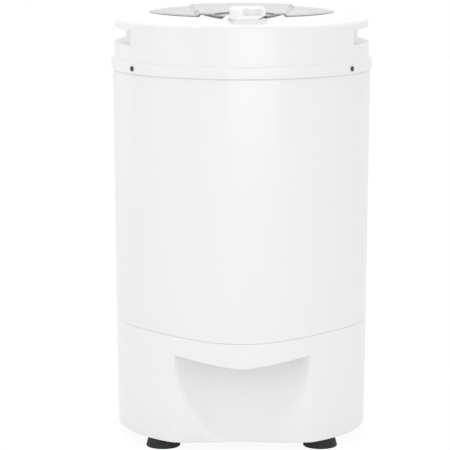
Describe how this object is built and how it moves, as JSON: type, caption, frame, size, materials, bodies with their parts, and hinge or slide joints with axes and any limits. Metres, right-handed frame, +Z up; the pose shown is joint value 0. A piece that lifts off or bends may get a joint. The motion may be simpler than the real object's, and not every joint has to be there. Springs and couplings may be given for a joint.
{
  "type": "laundry spin dryer",
  "caption": "Upright round laundry spin dryer: white casing on a base with a front niche, hinged smoke lid with a turn latch, perforated basket on a suspended motor with a brake.",
  "frame": {"origin": "centre of the footprint, on the floor under the feet", "axes": "+Z up, front with the niche and the latch at -Y, +X to the viewer's right"},
  "size_m": [0.361, 0.361, 0.606],
  "materials": {
    "white_shell": "satin gloss white",
    "white_knob": "satin white",
    "foot_rubber": "matte black",
    "zinc_steel": "zinc plated",
    "dark_screw": "black oxide",
    "pin_steel": "polished",
    "tub_plastic": "satin pale grey",
    "seal_rubber": "matte black",
    "hose_rubber": "matte black",
    "plate_steel": "zinc grey",
    "cast_aluminium": "die cast",
    "bearing_steel": "ground",
    "motor_paint": "satin grey",
    "lamination_steel": "stacked sheet",
    "copper_winding": "enamelled copper",
    "capacitor_can": "white plastic",
    "terminal_plastic": "matte ivory",
    "black_plastic": "matte black",
    "cable_sheath": "satin black",
    "spring_steel": "drawn wire",
    "brake_friction": "moulded friction lining",
    "drum_iron": "turned",
    "smoke_lid": "smoke grey gloss",
    "lid_white": "satin white",
    "latch_plastic": "satin pale grey",
    "basket_steel": "brushed stainless steel",
    "balance_plastic": "satin pale grey"
  },
  "bodies": {
    "cabinet": {"base_skirt": "white_shell", "foot_front_left": "foot_rubber", "foot_front_right": "foot_rubber", "foot_rear_left": "foot_rubber", "foot_rear_right": "foot_rubber", "foot_screws": "zinc_steel", "casing": "white_shell", "casing_screws": "zinc_steel", "top_cover": "white_shell", "mouth_collar": "white_shell", "cover_screws": "dark_screw", "hinge_pin": "pin_steel", "water_tub": "tub_plastic", "tub_seal": "seal_rubber", "shaft_gaiter": "seal_rubber", "drain_sleeve": "hose_rubber", "drain_clips": "zinc_steel", "drain_spout": "tub_plastic", "suspension_plate": "plate_steel", "plate_screws": "zinc_steel", "suspension_rubbers": "seal_rubber", "suspension_bolts": "zinc_steel", "bearing_neck": "cast_aluminium", "upper_bearing": "bearing_steel", "motor_can": "motor_paint", "upper_end_shield": "cast_aluminium", "lower_end_shield": "cast_aluminium", "lower_bearing": "bearing_steel", "through_bolts": "zinc_steel", "stator_core": "lamination_steel", "stator_winding": "copper_winding", "run_capacitor": "capacitor_can", "capacitor_clamp": "zinc_steel", "terminal_block": "terminal_plastic", "cord_gland": "black_plastic", "interlock_switch": "black_plastic", "brake_cable": "cable_sheath", "cable_clips": "black_plastic", "brake_bracket": "plate_steel", "brake_pin": "zinc_steel", "brake_spring": "spring_steel"},
    "lid": {"lid_panel": "smoke_lid", "lid_collar": "lid_white", "lid_seal": "seal_rubber", "lid_hinge_leaf": "lid_white", "lid_screws": "zinc_steel"},
    "latch": {"latch_knob": "white_knob", "latch_spindle": "pin_steel", "latch_tongue": "latch_plastic"},
    "brake": {"brake_arm": "plate_steel", "brake_lining": "brake_friction"},
    "spinner": {"motor_shaft": "pin_steel", "rotor_core": "lamination_steel", "cooling_fan": "black_plastic", "brake_drum": "drum_iron", "basket_hub": "cast_aluminium", "basket": "basket_steel", "balance_ring": "balance_plastic", "basket_nut": "zinc_steel", "hub_cap": "balance_plastic"}
  },
  "joints": [
    {"name": "lid_hinge", "type": "hinge", "parent": "cabinet", "child": "lid", "pos_m": [0, 0.136, 0.5885], "axis": [-1, 0, 0], "range_deg": [0, 95]},
    {"name": "latch_turn", "type": "hinge", "parent": "cabinet", "child": "latch", "pos_m": [0.007, -0.146, 0.59], "axis": [0, 0, -1], "range_deg": [0, 90]},
    {"name": "brake_swing", "type": "hinge", "parent": "cabinet", "child": "brake", "pos_m": [0.046, 0.046, 0.028], "axis": [0, 0, 1], "range_deg": [0, 9]},
    {"name": "basket_spin", "type": "hinge", "parent": "cabinet", "child": "spinner", "pos_m": [0, 0, 0.3], "axis": [0, 0, 1], "continuous": true}
  ],
  "couplings": [
    {"joint": "brake_swing", "follows": "latch_turn", "ratio": 0.1}
  ]
}
